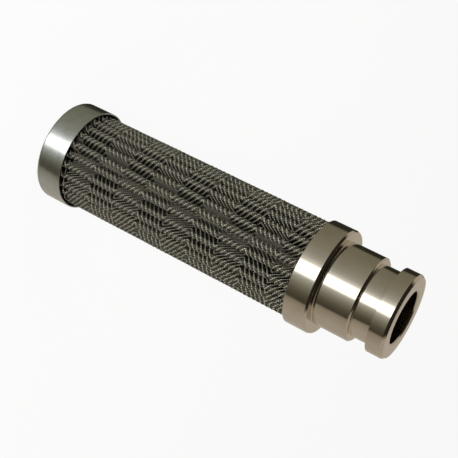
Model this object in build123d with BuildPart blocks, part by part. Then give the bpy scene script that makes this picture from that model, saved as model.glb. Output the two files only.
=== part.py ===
from build123d import *
from math import acos, atan2, cos, sin, sqrt
import os

# A hydraulic filter element: a pleated wire-cloth pack bonded between a drawn end cap and a
# turned outlet fitting. Millimetres. The axis is +Z and the cap's closed face stands at z = 0.

# Outlet fitting, from the bore outwards and from the pack upwards
bore_radius = 11.3
bore_chamfer = 0.6
spigot_wall = 0.75
spigot_height = 3.0
nose_radius = 18.0
body_length = 15.5
body_chamfer = 0.6
groove_radius = 15.45
groove_width = 8.1
collar_length = 7.3
collar_chamfer_height = 1.25
collar_chamfer_depth = 0.85
flange_height = 10.35
flange_chamfer_height = 1.0
flange_chamfer_depth = 0.45
recess_depth = 6.3
lip_wall = 1.15

# End cap, a cup drawn from sheet
cap_height = 12.9
cap_sheet = 0.5
cap_edge_chamfer = 1.0

# Core tube, with staggered rows of punched windows
core_wall = 0.8
window_width = 4.0
window_height = 9.0
windows_around = 4
window_row_pitch = 24.0

# Pleated pack, three wire cloths folded together
pack_length_in_view = 112.35
tip_radius = 20.75
valley_width = 0.75
pleat_count = 26
pleat_phase = 2.5
outer_mesh_thickness = 0.4
filter_cloth_thickness = 0.2
inner_mesh_thickness = 0.3

# Beds of adhesive that bond the pack into both ends
cap_bed_thickness = 4.3
fitting_bed_thickness = 2.0

# Clearances
layer_gap = 0.1
fold_gap = 0.1
bond_gap = 0.1
spigot_gap = 0.15
core_gap = 0.25
cap_rim_gap = 1.2
lip_gap = 0.6

# Radii that follow, from the bore out to the rims
spigot_radius = bore_radius + spigot_wall
core_inner_radius = spigot_radius + spigot_gap
core_radius = core_inner_radius + core_wall
filter_cloth_inset = outer_mesh_thickness + layer_gap
inner_mesh_inset = filter_cloth_inset + filter_cloth_thickness + layer_gap
pack_thickness = inner_mesh_inset + inner_mesh_thickness
root_radius = core_radius + core_gap + pack_thickness
cap_inner_radius = tip_radius + cap_rim_gap
cap_radius = cap_inner_radius + cap_sheet
recess_radius = tip_radius + lip_gap
flange_radius = recess_radius + lip_wall

# Heights that follow, from the cap's closed face up
pack_foot = cap_sheet + cap_bed_thickness
flange_rim = cap_height + pack_length_in_view
recess_floor = flange_rim + recess_depth
pack_head = recess_floor - fitting_bed_thickness
flange_top = flange_rim + flange_height
body_top = flange_top + body_length
collar_foot = body_top + groove_width
outlet_face = collar_foot + collar_length

# A pleat seen along the axis: its flank touches the bend at the tip and ends at the valley floor
pleat_pitch = 360 / pleat_count
tip_bend_radius = pack_thickness + fold_gap
tip_centre = Vector(tip_radius - tip_bend_radius, 0)
valley_ray = Vector(1, 0).rotate(Axis.Z, pleat_pitch / 2)
valley_corner = valley_ray * root_radius - valley_ray.rotate(Axis.Z, 90) * (valley_width / 2)
to_corner = valley_corner - tip_centre
flank_turn = atan2(to_corner.Y, to_corner.X) - acos(tip_bend_radius / to_corner.length)
flank_normal = Vector(cos(flank_turn), sin(flank_turn))
flank_run = flank_normal.rotate(Axis.Z, 90)

# The two hidden cloths are creased square, just inside the outer mesh's round bend
bend_inside = tip_bend_radius - outer_mesh_thickness
crease_rise = sqrt((bend_inside - layer_gap / 2) ** 2 - (bend_inside - layer_gap) ** 2)

# The pleats run straight up from the pack's foot
pack_plane = Plane.XY.offset(pack_foot).rotated((0, 0, pleat_phase))
pack_height = pack_head - pack_foot


def draw_pleats(inset, creased):
    """Draw the closed outline of the cloth face that lies this far inside the pack's outer face."""
    bend_point = tip_centre + flank_normal * (tip_bend_radius - inset)
    to_floor = (root_radius - inset - bend_point.dot(valley_ray)) / flank_run.dot(valley_ray)
    flank_foot = bend_point + flank_run * to_floor
    flank_tip = bend_point
    if creased:
        crease = tip_centre.X + crease_rise - (inset - filter_cloth_inset)
        flank_tip = bend_point + flank_run * ((crease - bend_point.X) / flank_run.X)
    tip_start = Vector(flank_tip.X, -flank_tip.Y)
    next_foot = Vector(flank_foot.X, -flank_foot.Y).rotate(Axis.Z, pleat_pitch)
    for pleat in range(pleat_count):
        corners = [tip_start, flank_tip, flank_foot, next_foot, tip_start.rotate(Axis.Z, pleat_pitch)]
        corners = [corner.rotate(Axis.Z, pleat * pleat_pitch) for corner in corners]
        if creased:
            Line(corners[0], corners[1])
        else:
            tip = Vector(tip_radius - inset, 0).rotate(Axis.Z, pleat * pleat_pitch)
            ThreePointArc(corners[0], tip, corners[1])
        Polyline(corners[1:])


def draw_cloth(inset, thickness, creased):
    """Draw the section of a folded cloth of this thickness, this far inside the pack's outer face."""
    with BuildSketch(pack_plane) as section:
        with BuildLine():
            draw_pleats(inset, creased)
        make_face()
        with BuildLine():
            draw_pleats(inset + thickness, creased)
        make_face(mode=Mode.SUBTRACT)
    return section.sketch


# End cap
with BuildPart() as end_cap:
    Cylinder(cap_radius, cap_height, align=(Align.CENTER, Align.CENTER, Align.MIN))
    chamfer(end_cap.edges().group_by(Axis.Z)[0], length=cap_edge_chamfer)
    offset(amount=-cap_sheet, openings=end_cap.faces().sort_by(Axis.Z)[-1])
end_cap.part.label = "end_cap"

# Adhesive bed in the cap, a full disc under the pack and the core tube, clear of the cap's bend
with BuildPart() as cap_potting:
    with BuildSketch(Plane.XY.offset(cap_sheet)):
        Circle(cap_inner_radius - bond_gap)
    extrude(amount=cap_bed_thickness)
    chamfer(cap_potting.edges().group_by(Axis.Z)[0], length=cap_edge_chamfer)
cap_potting.part.label = "cap_potting"

# Outer support mesh, the wire cloth that shows
with BuildPart() as outer_mesh:
    extrude(draw_cloth(0, outer_mesh_thickness, creased=False), amount=pack_height)
outer_mesh.part.label = "outer_mesh"

# Filter cloth, the fine cloth that holds back the dirt
with BuildPart() as filter_cloth:
    extrude(draw_cloth(filter_cloth_inset, filter_cloth_thickness, creased=True), amount=pack_height)
filter_cloth.part.label = "filter_cloth"

# Inner support mesh, which keeps the pleats open over the core tube
with BuildPart() as inner_mesh:
    extrude(draw_cloth(inner_mesh_inset, inner_mesh_thickness, creased=True), amount=pack_height)
inner_mesh.part.label = "inner_mesh"

# Core tube: it stands on the cap's bed and butts on the recess floor, round the spigot
row_count = int((pack_height - window_height) // window_row_pitch)
first_row = (pack_foot + pack_head - (row_count - 1) * window_row_pitch) / 2
window_turn = 360 / windows_around
with BuildPart() as core_tube:
    with BuildSketch(Plane.XY.offset(pack_foot)):
        Circle(core_radius)
        Circle(core_inner_radius, mode=Mode.SUBTRACT)
    extrude(amount=recess_floor - pack_foot)
    for row in range(row_count):
        for number in range(windows_around):
            turn = (number + row % 2 / 2) * window_turn
            with Locations(Location((0, 0, first_row + row * window_row_pitch), (0, 0, turn))):
                Box(
                    core_radius + core_gap,
                    window_width,
                    window_height,
                    align=(Align.MIN, Align.CENTER, Align.CENTER),
                    mode=Mode.SUBTRACT,
                )
core_tube.part.label = "core_tube"

# Adhesive bed in the fitting's recess, a ring round the core tube
with BuildPart() as fitting_potting:
    with BuildSketch(Plane.XY.offset(pack_head)):
        Circle(recess_radius - bond_gap)
        Circle(core_radius + bond_gap, mode=Mode.SUBTRACT)
    extrude(amount=fitting_bed_thickness)
fitting_potting.part.label = "fitting_potting"

# End fitting, turned from bar: spigot, recess, flange, body, seal groove and collar
with BuildPart() as end_fitting:
    with BuildSketch(Plane.XZ):
        with BuildLine():
            Polyline(
                (bore_radius, recess_floor - spigot_height),
                (spigot_radius, recess_floor - spigot_height),
                (spigot_radius, recess_floor),
                (recess_radius, recess_floor),
                (recess_radius, flange_rim),
                (flange_radius, flange_rim),
                (flange_radius, flange_top - flange_chamfer_height),
                (flange_radius - flange_chamfer_depth, flange_top),
                (nose_radius, flange_top),
                (nose_radius, body_top - body_chamfer),
                (nose_radius - body_chamfer, body_top),
                (groove_radius, body_top),
                (groove_radius, collar_foot),
                (nose_radius, collar_foot),
                (nose_radius, outlet_face - collar_chamfer_height),
                (nose_radius - collar_chamfer_depth, outlet_face),
                (bore_radius + bore_chamfer, outlet_face),
                (bore_radius, outlet_face - bore_chamfer),
                close=True,
            )
        make_face()
    revolve(axis=Axis.Z)
end_fitting.part.label = "end_fitting"

os.makedirs("parts", exist_ok=True)
pieces = (
    end_cap,
    cap_potting,
    outer_mesh,
    filter_cloth,
    inner_mesh,
    core_tube,
    fitting_potting,
    end_fitting,
)
for piece in pieces:
    export_step(piece.part, f"parts/{piece.part.label}.step")
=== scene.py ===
import math
import bpy
from mathutils import Matrix, Vector


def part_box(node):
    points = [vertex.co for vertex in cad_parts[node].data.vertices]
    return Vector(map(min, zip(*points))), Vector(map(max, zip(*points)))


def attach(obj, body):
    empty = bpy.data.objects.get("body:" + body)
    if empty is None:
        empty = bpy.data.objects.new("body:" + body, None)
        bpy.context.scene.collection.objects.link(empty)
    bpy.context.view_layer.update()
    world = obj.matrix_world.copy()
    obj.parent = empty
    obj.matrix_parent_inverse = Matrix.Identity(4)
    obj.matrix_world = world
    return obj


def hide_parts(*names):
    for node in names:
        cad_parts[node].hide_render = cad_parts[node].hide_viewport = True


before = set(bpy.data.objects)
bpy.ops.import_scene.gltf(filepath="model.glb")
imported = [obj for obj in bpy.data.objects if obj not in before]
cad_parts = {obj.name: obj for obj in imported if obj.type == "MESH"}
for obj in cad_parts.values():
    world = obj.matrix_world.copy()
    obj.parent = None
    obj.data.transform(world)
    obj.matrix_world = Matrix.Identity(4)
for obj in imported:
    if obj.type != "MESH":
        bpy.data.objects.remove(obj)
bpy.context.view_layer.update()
scene = bpy.context.scene
scene.view_settings.view_transform = "Standard"

# Camera
# The filter was photographed with the outlet end nearest, so the camera looks down along it.
# It is rolled, because the photograph shows the standing filter lying across the picture.
camera_aim = Vector((-0.0003, 0, 0.0851))
camera_distance = 0.4186
camera_elevation = math.radians(21.95)
camera_roll = math.radians(116.74)
camera_angle = math.radians(25.478)

camera_data = bpy.data.cameras.new("camera")
camera_data.angle = camera_angle
camera_data.clip_start = 0.01
camera = bpy.data.objects.new("camera", camera_data)
scene.collection.objects.link(camera)
camera_back = Vector((0, -math.cos(camera_elevation), math.sin(camera_elevation)))
camera_tilt = Matrix.Rotation(math.pi / 2 - camera_elevation, 4, "X")
camera.matrix_world = (
    Matrix.Translation(camera_aim + camera_back * camera_distance)
    @ camera_tilt
    @ Matrix.Rotation(camera_roll, 4, "Z")
)
scene.camera = camera

# Studio
# A pale floor under a light tent. The tent is bright in front of the filter, pale on one side
# and open to the dark room on the other, which is what gives the turned metal its bands.
floor_reach = 6.0
floor_colour = (0.86, 0.86, 0.85, 1)
floor_glow_share = 0.9
tent_white = (1, 1, 1, 1)
tent_ambient = (0.42, 0.41, 0.39, 1)
tent_beige = (0.52, 0.47, 0.41, 1)
tent_dark = (0.025, 0.022, 0.018, 1)
tent_bands = (
    (-180, (0.52, 0.48, 0.42, 1)),
    (-105, (0.50, 0.46, 0.41, 1)),
    (-82, (0.42, 0.38, 0.32, 1)),
    (-71, (0.33, 0.30, 0.25, 1)),
    (-67, (0.07, 0.06, 0.045, 1)),
    (-60, (0.09, 0.08, 0.06, 1)),
    (-48, (0.14, 0.13, 0.10, 1)),
    (-34, (0.27, 0.27, 0.22, 1)),
    (-24, (0.45, 0.45, 0.42, 1)),
    (-16, (0.65, 0.68, 0.70, 1)),
    (-11, (2.8, 2.8, 2.8, 1)),
    (11, (2.8, 2.8, 2.8, 1)),
    (15, (1.0, 1.03, 1.05, 1)),
    (25, (0.56, 0.56, 0.54, 1)),
    (36, (0.41, 0.41, 0.37, 1)),
    (52, (0.33, 0.32, 0.27, 1)),
    (81, (0.265, 0.255, 0.20, 1)),
    (122, (0.22, 0.21, 0.16, 1)),
    (130, (0.03, 0.028, 0.02, 1)),
    (164, (0.03, 0.028, 0.02, 1)),
    (172, (0.52, 0.48, 0.42, 1)),
)
tent_top_bands = (
    (-180, tent_beige),
    (-92, tent_beige),
    (-78, tent_dark),
    (104, tent_dark),
    (118, tent_beige),
    (180, tent_beige),
)


def feed(tree, socket, value):
    """Link an output to this input, or set the input if the value is a plain one."""
    if isinstance(value, bpy.types.NodeSocket):
        tree.links.new(value, socket)
    else:
        socket.default_value = value


def add_node(tree, kind, settings=None, **inputs):
    """Add a node with these settings, its inputs given by name with underscores for spaces."""
    made = tree.nodes.new(kind)
    for name, value in (settings or {}).items():
        setattr(made, name, value)
    for name, value in inputs.items():
        feed(tree, made.inputs[name.replace("_", " ")], value)
    return made


def calc(tree, operation, *values):
    """Add a math node for this operation and return its output."""
    made = tree.nodes.new("ShaderNodeMath")
    made.operation = operation
    for socket, value in zip(made.inputs, values):
        feed(tree, socket, value)
    return made.outputs[0]


def mix_colours(tree, share, first, second):
    """Return the colour that lies this share of the way from the first to the second."""
    made = tree.nodes.new("ShaderNodeMix")
    made.data_type = "RGBA"
    feed(tree, made.inputs[0], share)
    feed(tree, made.inputs[6], first)
    feed(tree, made.inputs[7], second)
    return made.outputs[2]


def add_ramp(tree, share, stops, interpolation="LINEAR"):
    """Return a colour that runs through these (place, colour) stops as the share goes from 0 to 1."""
    made = tree.nodes.new("ShaderNodeValToRGB")
    made.color_ramp.interpolation = interpolation
    elements = made.color_ramp.elements
    while len(elements) < len(stops):
        elements.new(0.5)
    for element, (place, colour) in zip(elements, stops):
        element.position = place
        element.color = colour
    feed(tree, made.inputs[0], share)
    return made.outputs[0]


tent = bpy.data.worlds.new("light_tent")
tent.use_nodes = True
scene.world = tent
tree = tent.node_tree
direction = add_node(tree, "ShaderNodeTexCoord").outputs["Generated"]
across = add_node(tree, "ShaderNodeSeparateXYZ", Vector=direction)
westward = calc(tree, "MULTIPLY", across.outputs["X"], -1)
frontward = calc(tree, "MULTIPLY", across.outputs["Y"], -1)
bearing = calc(tree, "ARCTAN2", westward, frontward)
full_turn = calc(tree, "MULTIPLY_ADD", bearing, 0.5 / math.pi, 0.5)
bands = add_ramp(tree, full_turn, [(0.5 + place / 360, colour) for place, colour in tent_bands])
above = add_ramp(tree, full_turn, [(0.5 + place / 360, colour) for place, colour in tent_top_bands])
upper = calc(tree, "GREATER_THAN", across.outputs["Z"], 0)
seen_by_metal = mix_colours(tree, upper, bands, above)
rays = add_node(tree, "ShaderNodeLightPath")
lit = mix_colours(tree, rays.outputs["Is Glossy Ray"], tent_ambient, seen_by_metal)
plain = calc(tree, "MAXIMUM", rays.outputs["Is Camera Ray"], rays.outputs["Is Transmission Ray"])
tree.links.new(mix_colours(tree, plain, lit, tent_white), tree.nodes["Background"].inputs["Color"])

floor_mesh = bpy.data.meshes.new("floor")
floor_corners = [(x * floor_reach, y * floor_reach, 0) for x, y in ((-1, -1), (1, -1), (1, 1), (-1, 1))]
floor_mesh.from_pydata(floor_corners, [], [(0, 1, 2, 3)])
floor = bpy.data.objects.new("floor", floor_mesh)
scene.collection.objects.link(floor)
floor_paper = bpy.data.materials.new("floor_paper")
floor_paper.use_nodes = True
tree = floor_paper.node_tree
paper = tree.nodes["Principled BSDF"]
paper.inputs["Base Color"].default_value = floor_colour
paper.inputs["Roughness"].default_value = 0.9
paper.inputs["Specular IOR Level"].default_value = 0.1
rays = add_node(tree, "ShaderNodeLightPath")
glow = add_node(tree, "ShaderNodeEmission", Color=tent_white, Strength=1.0)
glow_share = calc(tree, "MULTIPLY", rays.outputs["Is Camera Ray"], floor_glow_share)
paper_or_glow = add_node(tree, "ShaderNodeMixShader")
feed(tree, paper_or_glow.inputs[0], glow_share)
tree.links.new(paper.outputs[0], paper_or_glow.inputs[1])
tree.links.new(glow.outputs[0], paper_or_glow.inputs[2])
clear = add_node(tree, "ShaderNodeBsdfTransparent")
seen = add_node(tree, "ShaderNodeMixShader")
feed(tree, seen.inputs[0], rays.outputs["Is Glossy Ray"])
tree.links.new(paper_or_glow.outputs[0], seen.inputs[1])
tree.links.new(clear.outputs[0], seen.inputs[2])
tree.links.new(seen.outputs[0], tree.nodes["Material Output"].inputs["Surface"])
floor_mesh.materials.append(floor_paper)

softboxes = (
    ("softbox_front", (0.05, -0.80, 0.22), 0.35, 7.0),
    ("softbox_side", (0.75, -0.35, 0.35), 0.7, 1.6),
    ("softbox_other_side", (-0.75, -0.35, 0.45), 0.7, 1.6),
)
for name, place, width, power in softboxes:
    light = bpy.data.lights.new(name, "AREA")
    light.size = width
    light.energy = power
    softbox = bpy.data.objects.new(name, light)
    softbox.location = place
    softbox.rotation_euler = (camera_aim - Vector(place)).to_track_quat("-Z", "Y").to_euler()
    softbox.visible_glossy = False
    scene.collection.objects.link(softbox)

# End cap
# A shallow cup drawn from plated sheet steel, with a satin finish and a soft outer edge.
# It stands on its closed face and is bonded round the foot of the pleats.
cap_low, cap_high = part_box("end_cap")
cap_radius = cap_high.x
cap_height = cap_high.z
cap_sheet = 0.0005
cap_edge_round = 0.0016
cap_inside_round = 0.0011
cap_rim_round = 0.0001
cap_colour = (0.52, 0.54, 0.51, 1)
lathe_steps = 160
round_steps = 6


def round_corners(corners):
    """Return the outline (radius, height) with each corner (radius, height, round) made an arc."""
    outline = []
    for number, (radius, height, bend) in enumerate(corners):
        here = Vector((radius, height))
        before = (Vector(corners[number - 1][:2]) - here).normalized()
        after = (Vector(corners[(number + 1) % len(corners)][:2]) - here).normalized()
        if bend == 0:
            outline.append(here)
            continue
        half = before.angle(after) / 2
        start = here + before * (bend / math.tan(half))
        end = here + after * (bend / math.tan(half))
        centre = here + (before + after).normalized() * (bend / math.sin(half))
        for step in range(round_steps + 1):
            point = start.lerp(end, step / round_steps) - centre
            outline.append(centre + point.normalized() * bend)
    return outline


def turn_on_lathe(name, outline, steps):
    """Turn the closed outline (radius, height) about the axis; points on the axis become one pole."""
    verts, rings = [], []
    for radius, height in outline:
        if radius < 1e-9:
            rings.append([len(verts)] * steps)
            verts.append((0, 0, height))
            continue
        rings.append([len(verts) + step for step in range(steps)])
        for step in range(steps):
            angle = 2 * math.pi * step / steps
            verts.append((radius * math.cos(angle), radius * math.sin(angle), height))
    faces = []
    for number, ring in enumerate(rings):
        following = rings[(number + 1) % len(rings)]
        if ring[0] == ring[1] and following[0] == following[1]:
            continue
        for step in range(steps):
            beside = (step + 1) % steps
            corners = (ring[step], ring[beside], following[beside], following[step])
            faces.append(tuple(dict.fromkeys(corners)))
    mesh = bpy.data.meshes.new(name)
    mesh.from_pydata(verts, [], faces)
    mesh.shade_smooth()
    mesh.set_sharp_from_angle(angle=math.radians(32))
    made = bpy.data.objects.new(name, mesh)
    scene.collection.objects.link(made)
    return made


def ring_pattern(tree, fineness, drift=0.6):
    """Return coordinates for marks that run round the axis, as a lathe or a drawing die leaves them."""
    place = add_node(tree, "ShaderNodeTexCoord").outputs["Object"]
    split = add_node(tree, "ShaderNodeSeparateXYZ", Vector=place)
    x, y, z = split.outputs
    radius = calc(tree, "SQRT", calc(tree, "ADD", calc(tree, "MULTIPLY", x, x), calc(tree, "MULTIPLY", y, y)))
    across_marks = calc(tree, "MULTIPLY", calc(tree, "ADD", radius, z), fineness)
    safe_radius = calc(tree, "MAXIMUM", radius, 0.001)
    east = calc(tree, "MULTIPLY", calc(tree, "DIVIDE", x, safe_radius), drift)
    north = calc(tree, "MULTIPLY", calc(tree, "DIVIDE", y, safe_radius), drift)
    return add_node(tree, "ShaderNodeCombineXYZ", X=east, Y=north, Z=across_marks).outputs[0]


def new_metal(name, colour, roughness, metallic=1.0):
    """Return a metal and its node tree and shader."""
    metal = bpy.data.materials.new(name)
    metal.use_nodes = True
    shader = metal.node_tree.nodes["Principled BSDF"]
    shader.inputs["Base Color"].default_value = colour
    shader.inputs["Metallic"].default_value = metallic
    shader.inputs["Roughness"].default_value = roughness
    return metal, metal.node_tree, shader


cap_outline = round_corners(
    [
        (0, 0, 0),
        (cap_radius, 0, cap_edge_round),
        (cap_radius, cap_height, cap_rim_round),
        (cap_radius - cap_sheet, cap_height, cap_rim_round),
        (cap_radius - cap_sheet, cap_sheet, cap_inside_round),
        (0, cap_sheet, 0),
    ]
)
end_cap = turn_on_lathe("cap_shell", cap_outline, lathe_steps)

satin_plate, tree, shader = new_metal("satin_plate", cap_colour, 0.33)
drawing = add_node(tree, "ShaderNodeTexNoise", Vector=ring_pattern(tree, 2600), Scale=1.0, Detail=3.0)
blotches = add_node(tree, "ShaderNodeTexNoise", Scale=260.0, Detail=4.0)
tree.links.new(add_node(tree, "ShaderNodeTexCoord").outputs["Object"], blotches.inputs["Vector"])
sheen = add_node(
    tree, "ShaderNodeMapRange", Value=drawing.outputs[0], From_Min=0.3, From_Max=0.7, To_Min=0.16, To_Max=0.27
)
tree.links.new(sheen.outputs[0], shader.inputs["Roughness"])
tint = mix_colours(tree, blotches.outputs[0], (0.44, 0.455, 0.425, 1), (0.60, 0.62, 0.585, 1))
tree.links.new(tint, shader.inputs["Base Color"])
marks = add_node(tree, "ShaderNodeBump", Strength=0.25, Distance=0.00003, Height=drawing.outputs[0])
tree.links.new(marks.outputs[0], shader.inputs["Normal"])
end_cap.data.materials.append(satin_plate)
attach(end_cap, "root")
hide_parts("end_cap")

# Beds of adhesive
# Both ends of the pack are set in a dark cured resin: a full disc in the cap and a ring round
# the core in the fitting. Only shadow shows of them from outside.
resin_colour = (0.018, 0.016, 0.014, 1)
resin, tree, shader = new_metal("cured_resin", resin_colour, 0.35, metallic=0.0)
ripples = add_node(tree, "ShaderNodeTexNoise", Scale=420.0, Detail=3.0)
tree.links.new(add_node(tree, "ShaderNodeTexCoord").outputs["Object"], ripples.inputs["Vector"])
resin_skin = add_node(tree, "ShaderNodeBump", Strength=0.4, Distance=0.0002, Height=ripples.outputs[0])
tree.links.new(resin_skin.outputs[0], shader.inputs["Normal"])
resin_tint = mix_colours(tree, ripples.outputs[0], (0.012, 0.010, 0.009, 1), (0.03, 0.026, 0.022, 1))
tree.links.new(resin_tint, shader.inputs["Base Color"])


def repaint(node_name, material):
    """Give a CAD node this material on every face."""
    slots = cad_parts[node_name].material_slots
    for material_slot in slots:
        material_slot.material = material


repaint("cap_potting", resin)
repaint("fitting_potting", resin)

# Outer support mesh
# Woven steel wire cloth folded into pleats, which turn a little from the cap to the fitting.
# Its twill changes hand every half inch, so the ribs of wire run in a herringbone.
pack_low, pack_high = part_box("outer_mesh")
pack_foot = pack_low.z
pack_head = pack_high.z
tip_radius = 0.02075
root_radius = 0.01435
valley_width = 0.00075
pack_thickness = 0.0011
fold_gap = 0.0001
mesh_thickness = 0.0004
pleat_count = 26
pleat_phase = math.radians(11.05)
pleat_twist = math.radians(10.6)
wire_spacing = 0.0008
rib_radius = 0.00034
rib_depth = 0.00012
ribs_around = 122
ribs_in_band = 6
rib_steps = 30
rib_sides = 5
band_height = 0.0127
band_start = 0.0268 - 2 * band_height
tip_steps = 8
flank_steps = 2

pleat_pitch = 2 * math.pi / pleat_count
tip_bend = pack_thickness + fold_gap
tip_centre = Vector((tip_radius - tip_bend, 0))
valley_ray = Vector((math.cos(pleat_pitch / 2), math.sin(pleat_pitch / 2)))
valley_side = Vector((-valley_ray.y, valley_ray.x))
to_corner = valley_ray * root_radius - valley_side * (valley_width / 2) - tip_centre
flank_turn = math.atan2(to_corner.y, to_corner.x) - math.acos(tip_bend / to_corner.length)
flank_normal = Vector((math.cos(flank_turn), math.sin(flank_turn)))
flank_run = Vector((-flank_normal.y, flank_normal.x))


def draw_pleats(inset, bend_steps):
    """Return the closed outline, as points on the floor, of the cloth face that lies this far in."""
    bend = tip_bend - inset
    flank_top = tip_centre + flank_normal * bend
    fall = (root_radius - inset - flank_top.dot(valley_ray)) / flank_run.dot(valley_ray)
    half_pleat = []
    for step in range(bend_steps):
        angle = flank_turn * step / bend_steps
        half_pleat.append(tip_centre + Vector((math.cos(angle), math.sin(angle))) * bend)
    for step in range(flank_steps + 1):
        half_pleat.append(flank_top + flank_run * (fall * step / flank_steps))
    pleat = [Vector((point.x, -point.y)) for point in reversed(half_pleat[1:])] + half_pleat
    outline = []
    for number in range(pleat_count):
        turn = Matrix.Rotation(number * pleat_pitch + pleat_phase, 2)
        outline += [(turn @ point).to_3d() for point in pleat]
    return outline


def start_tree(name, sizes):
    """Start a tree of geometry nodes with an outline coming in, a piece going out and named sizes."""
    tree = bpy.data.node_groups.new(name, "GeometryNodeTree")
    tree.interface.new_socket("Outline", in_out="INPUT", socket_type="NodeSocketGeometry")
    for label, value in sizes.items():
        kind = "NodeSocketInt" if isinstance(value, int) else "NodeSocketFloat"
        tree.interface.new_socket(label, in_out="INPUT", socket_type=kind)
    tree.interface.new_socket("Piece", in_out="OUTPUT", socket_type="NodeSocketGeometry")
    return tree, tree.nodes.new("NodeGroupInput").outputs


def turn_up(tree, inputs, flat_point, height):
    """Return this point of the outline turned as far as the pleats turn, and raised to this height."""
    climb = calc(tree, "SUBTRACT", height, inputs["Foot"])
    rate = calc(tree, "DIVIDE", inputs["Twist"], calc(tree, "SUBTRACT", inputs["Head"], inputs["Foot"]))
    turned = add_node(tree, "ShaderNodeVectorRotate", {"rotation_type": "Z_AXIS"}, Vector=flat_point)
    feed(tree, turned.inputs["Angle"], calc(tree, "MULTIPLY", climb, rate))
    level = add_node(tree, "ShaderNodeCombineXYZ", Z=height).outputs[0]
    placed = add_node(tree, "ShaderNodeVectorMath", {"operation": "ADD"})
    feed(tree, placed.inputs[0], turned.outputs[0])
    feed(tree, placed.inputs[1], level)
    return placed.outputs[0]


def follow_folds(tree, inputs, share, stand_off):
    """Return the point this share of the way round the outline, standing off it by this much."""
    points = add_node(tree, "GeometryNodeMeshToPoints", Mesh=inputs["Outline"]).outputs[0]
    order = add_node(tree, "GeometryNodeInputIndex").outputs[0]
    line = add_node(tree, "GeometryNodePointsToCurves", Points=points, Weight=order).outputs[0]
    ring = add_node(tree, "GeometryNodeSetSplineCyclic", Geometry=line, Cyclic=True).outputs[0]
    sample = add_node(tree, "GeometryNodeSampleCurve", {"mode": "FACTOR"}, Curves=ring, Factor=share)
    upward = add_node(tree, "ShaderNodeCombineXYZ", Z=1.0).outputs[0]
    outward = add_node(tree, "ShaderNodeVectorMath", {"operation": "CROSS_PRODUCT"})
    feed(tree, outward.inputs[0], sample.outputs["Tangent"])
    feed(tree, outward.inputs[1], upward)
    lift = add_node(tree, "ShaderNodeVectorMath", {"operation": "SCALE"}, Scale=stand_off)
    feed(tree, lift.inputs[0], outward.outputs[0])
    lifted = add_node(tree, "ShaderNodeVectorMath", {"operation": "ADD"})
    feed(tree, lifted.inputs[0], sample.outputs["Position"])
    feed(tree, lifted.inputs[1], lift.outputs[0])
    return lifted.outputs[0]


def finish_tree(tree, piece, material):
    """End the tree: a plain mesh, smooth and in its material."""
    smooth = add_node(tree, "GeometryNodeSetShadeSmooth", Geometry=piece).outputs[0]
    real = add_node(tree, "GeometryNodeRealizeInstances", Geometry=smooth).outputs[0]
    painted = add_node(tree, "GeometryNodeSetMaterial", Geometry=real, Material=material).outputs[0]
    tree.links.new(painted, tree.nodes.new("NodeGroupOutput").inputs[0])


def grow(name, outline, tree, sizes):
    """Run the tree on the outline with these sizes and keep the result as a plain mesh."""
    seed = bpy.data.meshes.new(name + "_outline")
    seed.from_pydata(outline, [], [])
    run = 0
    marks = seed.attributes.new("run", "FLOAT", "POINT").data
    for mark, point, before in zip(marks, outline, outline[:1] + outline):
        run += (point - before).length
        mark.value = run
    seed_object = bpy.data.objects.new(name + "_outline", seed)
    scene.collection.objects.link(seed_object)
    modifier = seed_object.modifiers.new("grow", "NODES")
    modifier.node_group = tree
    for item in tree.interface.items_tree:
        if item.in_out == "INPUT" and item.name in sizes:
            modifier[item.identifier] = sizes[item.name]
    evaluated = seed_object.evaluated_get(bpy.context.evaluated_depsgraph_get())
    grown = bpy.data.meshes.new_from_object(evaluated)
    bpy.data.objects.remove(seed_object)
    grown.name = name
    made = bpy.data.objects.new(name, grown)
    scene.collection.objects.link(made)
    return made


wire_steel, tree, shader = new_metal("drawn_wire", (0.45, 0.42, 0.35, 1), 0.5, metallic=0.4)
crimps = add_node(tree, "ShaderNodeAttribute", {"attribute_name": "along_rib"}).outputs["Fac"]
crimp_wave = calc(tree, "SINE", calc(tree, "MULTIPLY", crimps, 2 * math.pi / 0.0009))
crimp_share = calc(tree, "MULTIPLY_ADD", crimp_wave, 0.5, 0.5)
grain = add_node(tree, "ShaderNodeTexNoise", Scale=900.0, Detail=2.0)
tree.links.new(add_node(tree, "ShaderNodeTexCoord").outputs["Object"], grain.inputs["Vector"])
worn = mix_colours(tree, grain.outputs[0], (0.30, 0.285, 0.22, 1), (0.50, 0.475, 0.39, 1))
# Painted shade: the wire's colour darkens to near black where each crimp dips under the crossing wires.
crimp_shaded_colour = mix_colours(tree, crimp_share, (0.10, 0.096, 0.075, 1), worn)
tree.links.new(crimp_shaded_colour, shader.inputs["Base Color"])
crimp_bump = add_node(tree, "ShaderNodeBump", Strength=0.8, Distance=0.00012, Height=crimp_share)
tree.links.new(crimp_bump.outputs[0], shader.inputs["Normal"])

# Painted shade: the cloth under the ribs is near black for the shade between and behind the wires.
shaded_gap_steel, tree, shader = new_metal("woven_gaps_painted_shade", (0.05, 0.045, 0.035, 1), 0.5)
woven = add_node(tree, "ShaderNodeAttribute", {"attribute_name": "on_cloth"}).outputs["Vector"]
woven_split = add_node(tree, "ShaderNodeSeparateXYZ", Vector=woven)
weft = calc(tree, "SINE", calc(tree, "MULTIPLY", woven_split.outputs["X"], 2 * math.pi / wire_spacing))
warp = calc(tree, "SINE", calc(tree, "MULTIPLY", woven_split.outputs["Y"], 2 * math.pi / wire_spacing))
weave = calc(tree, "MULTIPLY_ADD", calc(tree, "MULTIPLY", weft, warp), 0.5, 0.5)
# The weave pattern runs from painted shade in its holes to the wires' own tone.
weave_and_painted_shade = mix_colours(tree, weave, (0.025, 0.023, 0.018, 1), (0.21, 0.20, 0.155, 1))
tree.links.new(weave_and_painted_shade, shader.inputs["Base Color"])
weave_bump = add_node(tree, "ShaderNodeBump", Strength=0.7, Distance=0.00015, Height=weave)
tree.links.new(weave_bump.outputs[0], shader.inputs["Normal"])

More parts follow.
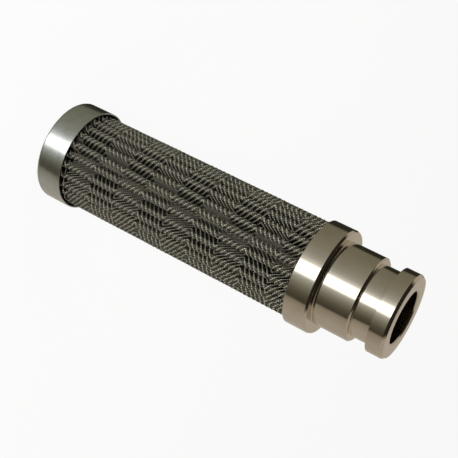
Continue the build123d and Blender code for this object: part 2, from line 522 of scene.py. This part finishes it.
cloth_sizes = {
    "Foot": pack_foot,
    "Head": pack_head,
    "Twist": pleat_twist,
    "Steps Up": 33,
    "Steps Around": pleat_count,
}
cloth_tree, inputs = start_tree("pleated_cloth", cloth_sizes)
grid = add_node(cloth_tree, "GeometryNodeMeshGrid", Size_X=1.0, Size_Y=1.0)
feed(cloth_tree, grid.inputs["Vertices X"], calc(cloth_tree, "ADD", inputs["Steps Around"], 1))
feed(cloth_tree, grid.inputs["Vertices Y"], inputs["Steps Up"])
grid_place = add_node(cloth_tree, "GeometryNodeInputPosition").outputs[0]
grid_split = add_node(cloth_tree, "ShaderNodeSeparateXYZ", Vector=grid_place)
around = calc(cloth_tree, "ADD", grid_split.outputs["X"], 0.5)
upward_share = calc(cloth_tree, "ADD", grid_split.outputs["Y"], 0.5)
column = calc(cloth_tree, "ROUND", calc(cloth_tree, "MULTIPLY", around, inputs["Steps Around"]))
corner = add_node(cloth_tree, "GeometryNodeSampleIndex", {"data_type": "FLOAT_VECTOR"}, Index=column)
feed(cloth_tree, corner.inputs["Geometry"], inputs["Outline"])
feed(cloth_tree, corner.inputs["Value"], grid_place)
run_so_far = add_node(cloth_tree, "GeometryNodeInputNamedAttribute", {"data_type": "FLOAT"}, Name="run")
run = add_node(cloth_tree, "GeometryNodeSampleIndex", {"data_type": "FLOAT"}, Index=column)
feed(cloth_tree, run.inputs["Geometry"], inputs["Outline"])
feed(cloth_tree, run.inputs["Value"], run_so_far.outputs[0])
cloth_span = calc(cloth_tree, "SUBTRACT", inputs["Head"], inputs["Foot"])
cloth_level = calc(cloth_tree, "MULTIPLY_ADD", upward_share, cloth_span, inputs["Foot"])
cloth_point = turn_up(cloth_tree, inputs, corner.outputs[0], cloth_level)
on_cloth = add_node(cloth_tree, "ShaderNodeCombineXYZ", X=run.outputs[0], Y=cloth_level).outputs[0]
mapped = add_node(
    cloth_tree,
    "GeometryNodeStoreNamedAttribute",
    {"data_type": "FLOAT_VECTOR", "domain": "CORNER"},
    Geometry=grid.outputs["Mesh"],
    Name="on_cloth",
    Value=on_cloth,
)
shaped = add_node(cloth_tree, "GeometryNodeSetPosition", Geometry=mapped.outputs[0], Position=cloth_point)
closed = add_node(cloth_tree, "GeometryNodeMergeByDistance", Geometry=shaped.outputs[0], Distance=0.000001)
finish_tree(cloth_tree, closed.outputs[0], shaded_gap_steel)


def fold_cloth(name, node_name, inset, thickness, bend_steps, steps_up):
    """Fold a cloth of this thickness, this far inside the pack's outer face, for this CAD node."""
    outline = draw_pleats(inset, bend_steps)
    outline.append(outline[0])
    sizes = dict(cloth_sizes)
    sizes["Steps Around"] = len(outline) - 1
    sizes["Steps Up"] = steps_up
    cloth = grow(name, outline, cloth_tree, sizes)
    wall = cloth.modifiers.new("wall", "SOLIDIFY")
    wall.thickness = thickness
    wall.offset = -1
    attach(cloth, "root")
    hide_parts(node_name)
    return cloth


outer_cloth = fold_cloth("outer_support_cloth", "outer_mesh", 0, mesh_thickness, tip_steps, 33)

rib_sizes = {
    "Foot": pack_foot,
    "Head": pack_head,
    "Twist": pleat_twist,
    "Band Foot": pack_foot,
    "Band Head": pack_head,
    "First Shift": 0.0,
    "Lean": float(ribs_in_band),
    "Ribs Around": ribs_around,
    "Rib Radius": rib_radius,
    "Rib Depth": rib_depth,
    "Steps Along": rib_steps,
    "Sides": rib_sides,
}
rib_tree, inputs = start_tree("diagonal_ribs", rib_sizes)
starts = add_node(rib_tree, "GeometryNodeMeshLine", Count=inputs["Ribs Around"])
starts.inputs["Offset"].default_value = (1, 0, 0)
one_rib = add_node(rib_tree, "GeometryNodeCurvePrimitiveLine")
one_rib.inputs["End"].default_value = (0, 0, 1)
divided = add_node(rib_tree, "GeometryNodeResampleCurve", Curve=one_rib.outputs[0], Count=inputs["Steps Along"])
copies = add_node(rib_tree, "GeometryNodeInstanceOnPoints", Points=starts.outputs[0], Instance=divided.outputs[0])
strands = add_node(rib_tree, "GeometryNodeRealizeInstances", Geometry=copies.outputs[0])
rib_place = add_node(rib_tree, "GeometryNodeInputPosition").outputs[0]
rib_split = add_node(rib_tree, "ShaderNodeSeparateXYZ", Vector=rib_place)
number, along = rib_split.outputs["X"], rib_split.outputs["Z"]
shifted = calc(rib_tree, "ADD", calc(rib_tree, "MULTIPLY_ADD", along, inputs["Lean"], number), inputs["First Shift"])
rib_share = calc(rib_tree, "FRACT", calc(rib_tree, "DIVIDE", shifted, inputs["Ribs Around"]))
band_span = calc(rib_tree, "SUBTRACT", inputs["Band Head"], inputs["Band Foot"])
rib_level = calc(rib_tree, "MULTIPLY_ADD", along, band_span, inputs["Band Foot"])
rib_stand = calc(rib_tree, "MULTIPLY", inputs["Rib Depth"], -1)
rib_point = turn_up(rib_tree, inputs, follow_folds(rib_tree, inputs, rib_share, rib_stand), rib_level)
laid = add_node(rib_tree, "GeometryNodeSetPosition", Geometry=strands.outputs[0], Position=rib_point)
marked = add_node(rib_tree, "GeometryNodeStoreNamedAttribute", {"data_type": "FLOAT"}, Geometry=laid.outputs[0])
marked.inputs["Name"].default_value = "along_rib"
run = add_node(rib_tree, "GeometryNodeSplineParameter").outputs["Length"]
feed(rib_tree, marked.inputs["Value"], run)
section = add_node(rib_tree, "GeometryNodeCurvePrimitiveCircle", Resolution=inputs["Sides"])
feed(rib_tree, section.inputs["Radius"], inputs["Rib Radius"])
tubes = add_node(rib_tree, "GeometryNodeCurveToMesh", Curve=marked.outputs[0], Profile_Curve=section.outputs[0])
tubes.inputs["Fill Caps"].default_value = True
finish_tree(rib_tree, tubes.outputs[0], wire_steel)

outer_outline = draw_pleats(0, tip_steps)
band_count = math.ceil((pack_head - band_start) / band_height)
lays = {"right": [], "left": []}
for band in range(band_count):
    foot = max(band_start + band * band_height, pack_foot)
    head = min(band_start + (band + 1) * band_height, pack_head)
    if head - foot < 0.0005:
        continue
    lean = ribs_in_band * (head - foot) / band_height
    lay = "right" if band % 2 == 1 else "left"
    sign = 1 if lay == "right" else -1
    sizes = dict(rib_sizes)
    sizes["Band Foot"] = foot
    sizes["Band Head"] = head
    sizes["Lean"] = -sign * lean
    sizes["Steps Along"] = max(3, round(rib_steps * (head - foot) / band_height))
    lays[lay].append(grow(f"ribs_{band}", outer_outline, rib_tree, sizes))

for lay, bands_of_ribs in lays.items():
    with bpy.context.temp_override(
        active_object=bands_of_ribs[0], selected_editable_objects=bands_of_ribs, object=bands_of_ribs[0]
    ):
        bpy.ops.object.join()
    ribs = bands_of_ribs[0]
    ribs.name = f"wire_ribs_{lay}"
    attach(ribs, "root")

# Hidden cloths
# The fine filter cloth and the inner support mesh are folded with the outer one and lie behind
# it, so only their ends could show between the pleats.
fine_cloth, tree, shader = new_metal("fine_filter_cloth", (0.28, 0.27, 0.24, 1), 0.5)
fine_place = add_node(tree, "ShaderNodeTexCoord").outputs["Object"]
fine_weave = add_node(tree, "ShaderNodeTexVoronoi", Vector=fine_place, Scale=3000.0)
fine_bump = add_node(tree, "ShaderNodeBump", Strength=0.5, Distance=0.00005, Height=fine_weave.outputs[0])
tree.links.new(fine_bump.outputs[0], shader.inputs["Normal"])
fine_tint = mix_colours(tree, fine_weave.outputs[0], (0.32, 0.31, 0.28, 1), (0.18, 0.17, 0.15, 1))
tree.links.new(fine_tint, shader.inputs["Base Color"])
filter_cloth_inset = 0.0005
filter_cloth_thickness = 0.0002
inner_mesh_inset = 0.0008
inner_mesh_thickness = 0.0003
filter_cloth = fold_cloth("folded_filter_cloth", "filter_cloth", filter_cloth_inset, filter_cloth_thickness, 3, 17)
inner_mesh = fold_cloth("folded_inner_mesh", "inner_mesh", inner_mesh_inset, inner_mesh_thickness, 3, 17)
for cloth, slot in ((filter_cloth, "cloth_wire"), (inner_mesh, "mesh_wire")):
    cloth.data.materials.clear()
    cloth.data.materials.append(fine_cloth)

# Core tube
# Sheet steel rolled into a tube, with staggered rows of punched windows, which holds the pleats
# against the pressure. It stands on the cap's bed and is pushed over the fitting's spigot.
rolled_sheet, tree, shader = new_metal("rolled_sheet", (0.45, 0.44, 0.42, 1), 0.35)
rolling = add_node(tree, "ShaderNodeTexNoise", Vector=ring_pattern(tree, 900), Scale=1.0, Detail=4.0)
roll_sheen = add_node(tree, "ShaderNodeMapRange", Value=rolling.outputs[0], To_Min=0.25, To_Max=0.5)
tree.links.new(roll_sheen.outputs[0], shader.inputs["Roughness"])
roll_tint = mix_colours(tree, rolling.outputs[0], (0.36, 0.35, 0.33, 1), (0.52, 0.51, 0.48, 1))
tree.links.new(roll_tint, shader.inputs["Base Color"])
repaint("core_tube", rolled_sheet)

# End fitting
# Turned from steel bar and plated: a recess for the pack with a flange round it, then the body,
# the groove for a seal and the collar, all round one bore. The groove is empty.
fitting_low, fitting_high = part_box("end_fitting")
outlet_face = fitting_high.z
flange_radius = fitting_high.x
bore_radius = 0.0113
bore_chamfer = 0.0006
spigot_foot = fitting_low.z
spigot_wall = 0.00075
spigot_height = 0.0030
nose_radius = 0.018
body_length = 0.0155
body_chamfer = 0.0006
groove_radius = 0.01545
groove_width = 0.0081
collar_length = 0.0073
collar_chamfer_height = 0.00125
collar_chamfer_depth = 0.00085
flange_height = 0.01035
flange_chamfer_height = 0.0010
flange_chamfer_depth = 0.00045
recess_radius = 0.02135
recess_depth = 0.0063
edge_round = 0.00006
root_fillet = 0.00035

collar_foot = outlet_face - collar_length
body_top = collar_foot - groove_width
flange_top = body_top - body_length
flange_rim = flange_top - flange_height
recess_floor = flange_rim + recess_depth
spigot_end = recess_floor - spigot_height
spigot_radius = bore_radius + spigot_wall
fitting_outline = round_corners(
    [
        (bore_radius, spigot_end, edge_round),
        (spigot_radius, spigot_end, edge_round),
        (spigot_radius, recess_floor, root_fillet),
        (recess_radius, recess_floor, root_fillet),
        (recess_radius, flange_rim, edge_round),
        (flange_radius, flange_rim, edge_round),
        (flange_radius, flange_top - flange_chamfer_height, edge_round),
        (flange_radius - flange_chamfer_depth, flange_top, edge_round),
        (nose_radius, flange_top, root_fillet),
        (nose_radius, body_top - body_chamfer, edge_round),
        (nose_radius - body_chamfer, body_top, edge_round),
        (groove_radius, body_top, root_fillet),
        (groove_radius, collar_foot, root_fillet),
        (nose_radius, collar_foot, edge_round),
        (nose_radius, outlet_face - collar_chamfer_height, edge_round),
        (nose_radius - collar_chamfer_depth, outlet_face, edge_round),
        (bore_radius + bore_chamfer, outlet_face, edge_round),
        (bore_radius, outlet_face - bore_chamfer, edge_round),
    ]
)
fitting = turn_on_lathe("turned_fitting", fitting_outline, lathe_steps)

turned_plate, tree, shader = new_metal("turned_plate", (0.60, 0.54, 0.44, 1), 0.2)
tool_marks = add_node(tree, "ShaderNodeTexNoise", Vector=ring_pattern(tree, 5200), Scale=1.0, Detail=3.0)
cloudy = add_node(tree, "ShaderNodeTexNoise", Scale=140.0, Detail=5.0)
tree.links.new(add_node(tree, "ShaderNodeTexCoord").outputs["Object"], cloudy.inputs["Vector"])
fitting_sheen = add_node(
    tree, "ShaderNodeMapRange", Value=tool_marks.outputs[0], From_Min=0.3, From_Max=0.7, To_Min=0.07, To_Max=0.15
)
tree.links.new(fitting_sheen.outputs[0], shader.inputs["Roughness"])
fitting_tint = mix_colours(tree, cloudy.outputs[0], (0.54, 0.48, 0.38, 1), (0.66, 0.60, 0.50, 1))
tree.links.new(fitting_tint, shader.inputs["Base Color"])
lathe_bump = add_node(tree, "ShaderNodeBump", Strength=0.2, Distance=0.00001, Height=tool_marks.outputs[0])
tree.links.new(lathe_bump.outputs[0], shader.inputs["Normal"])
fitting.data.materials.append(turned_plate)
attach(fitting, "root")
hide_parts("end_fitting")
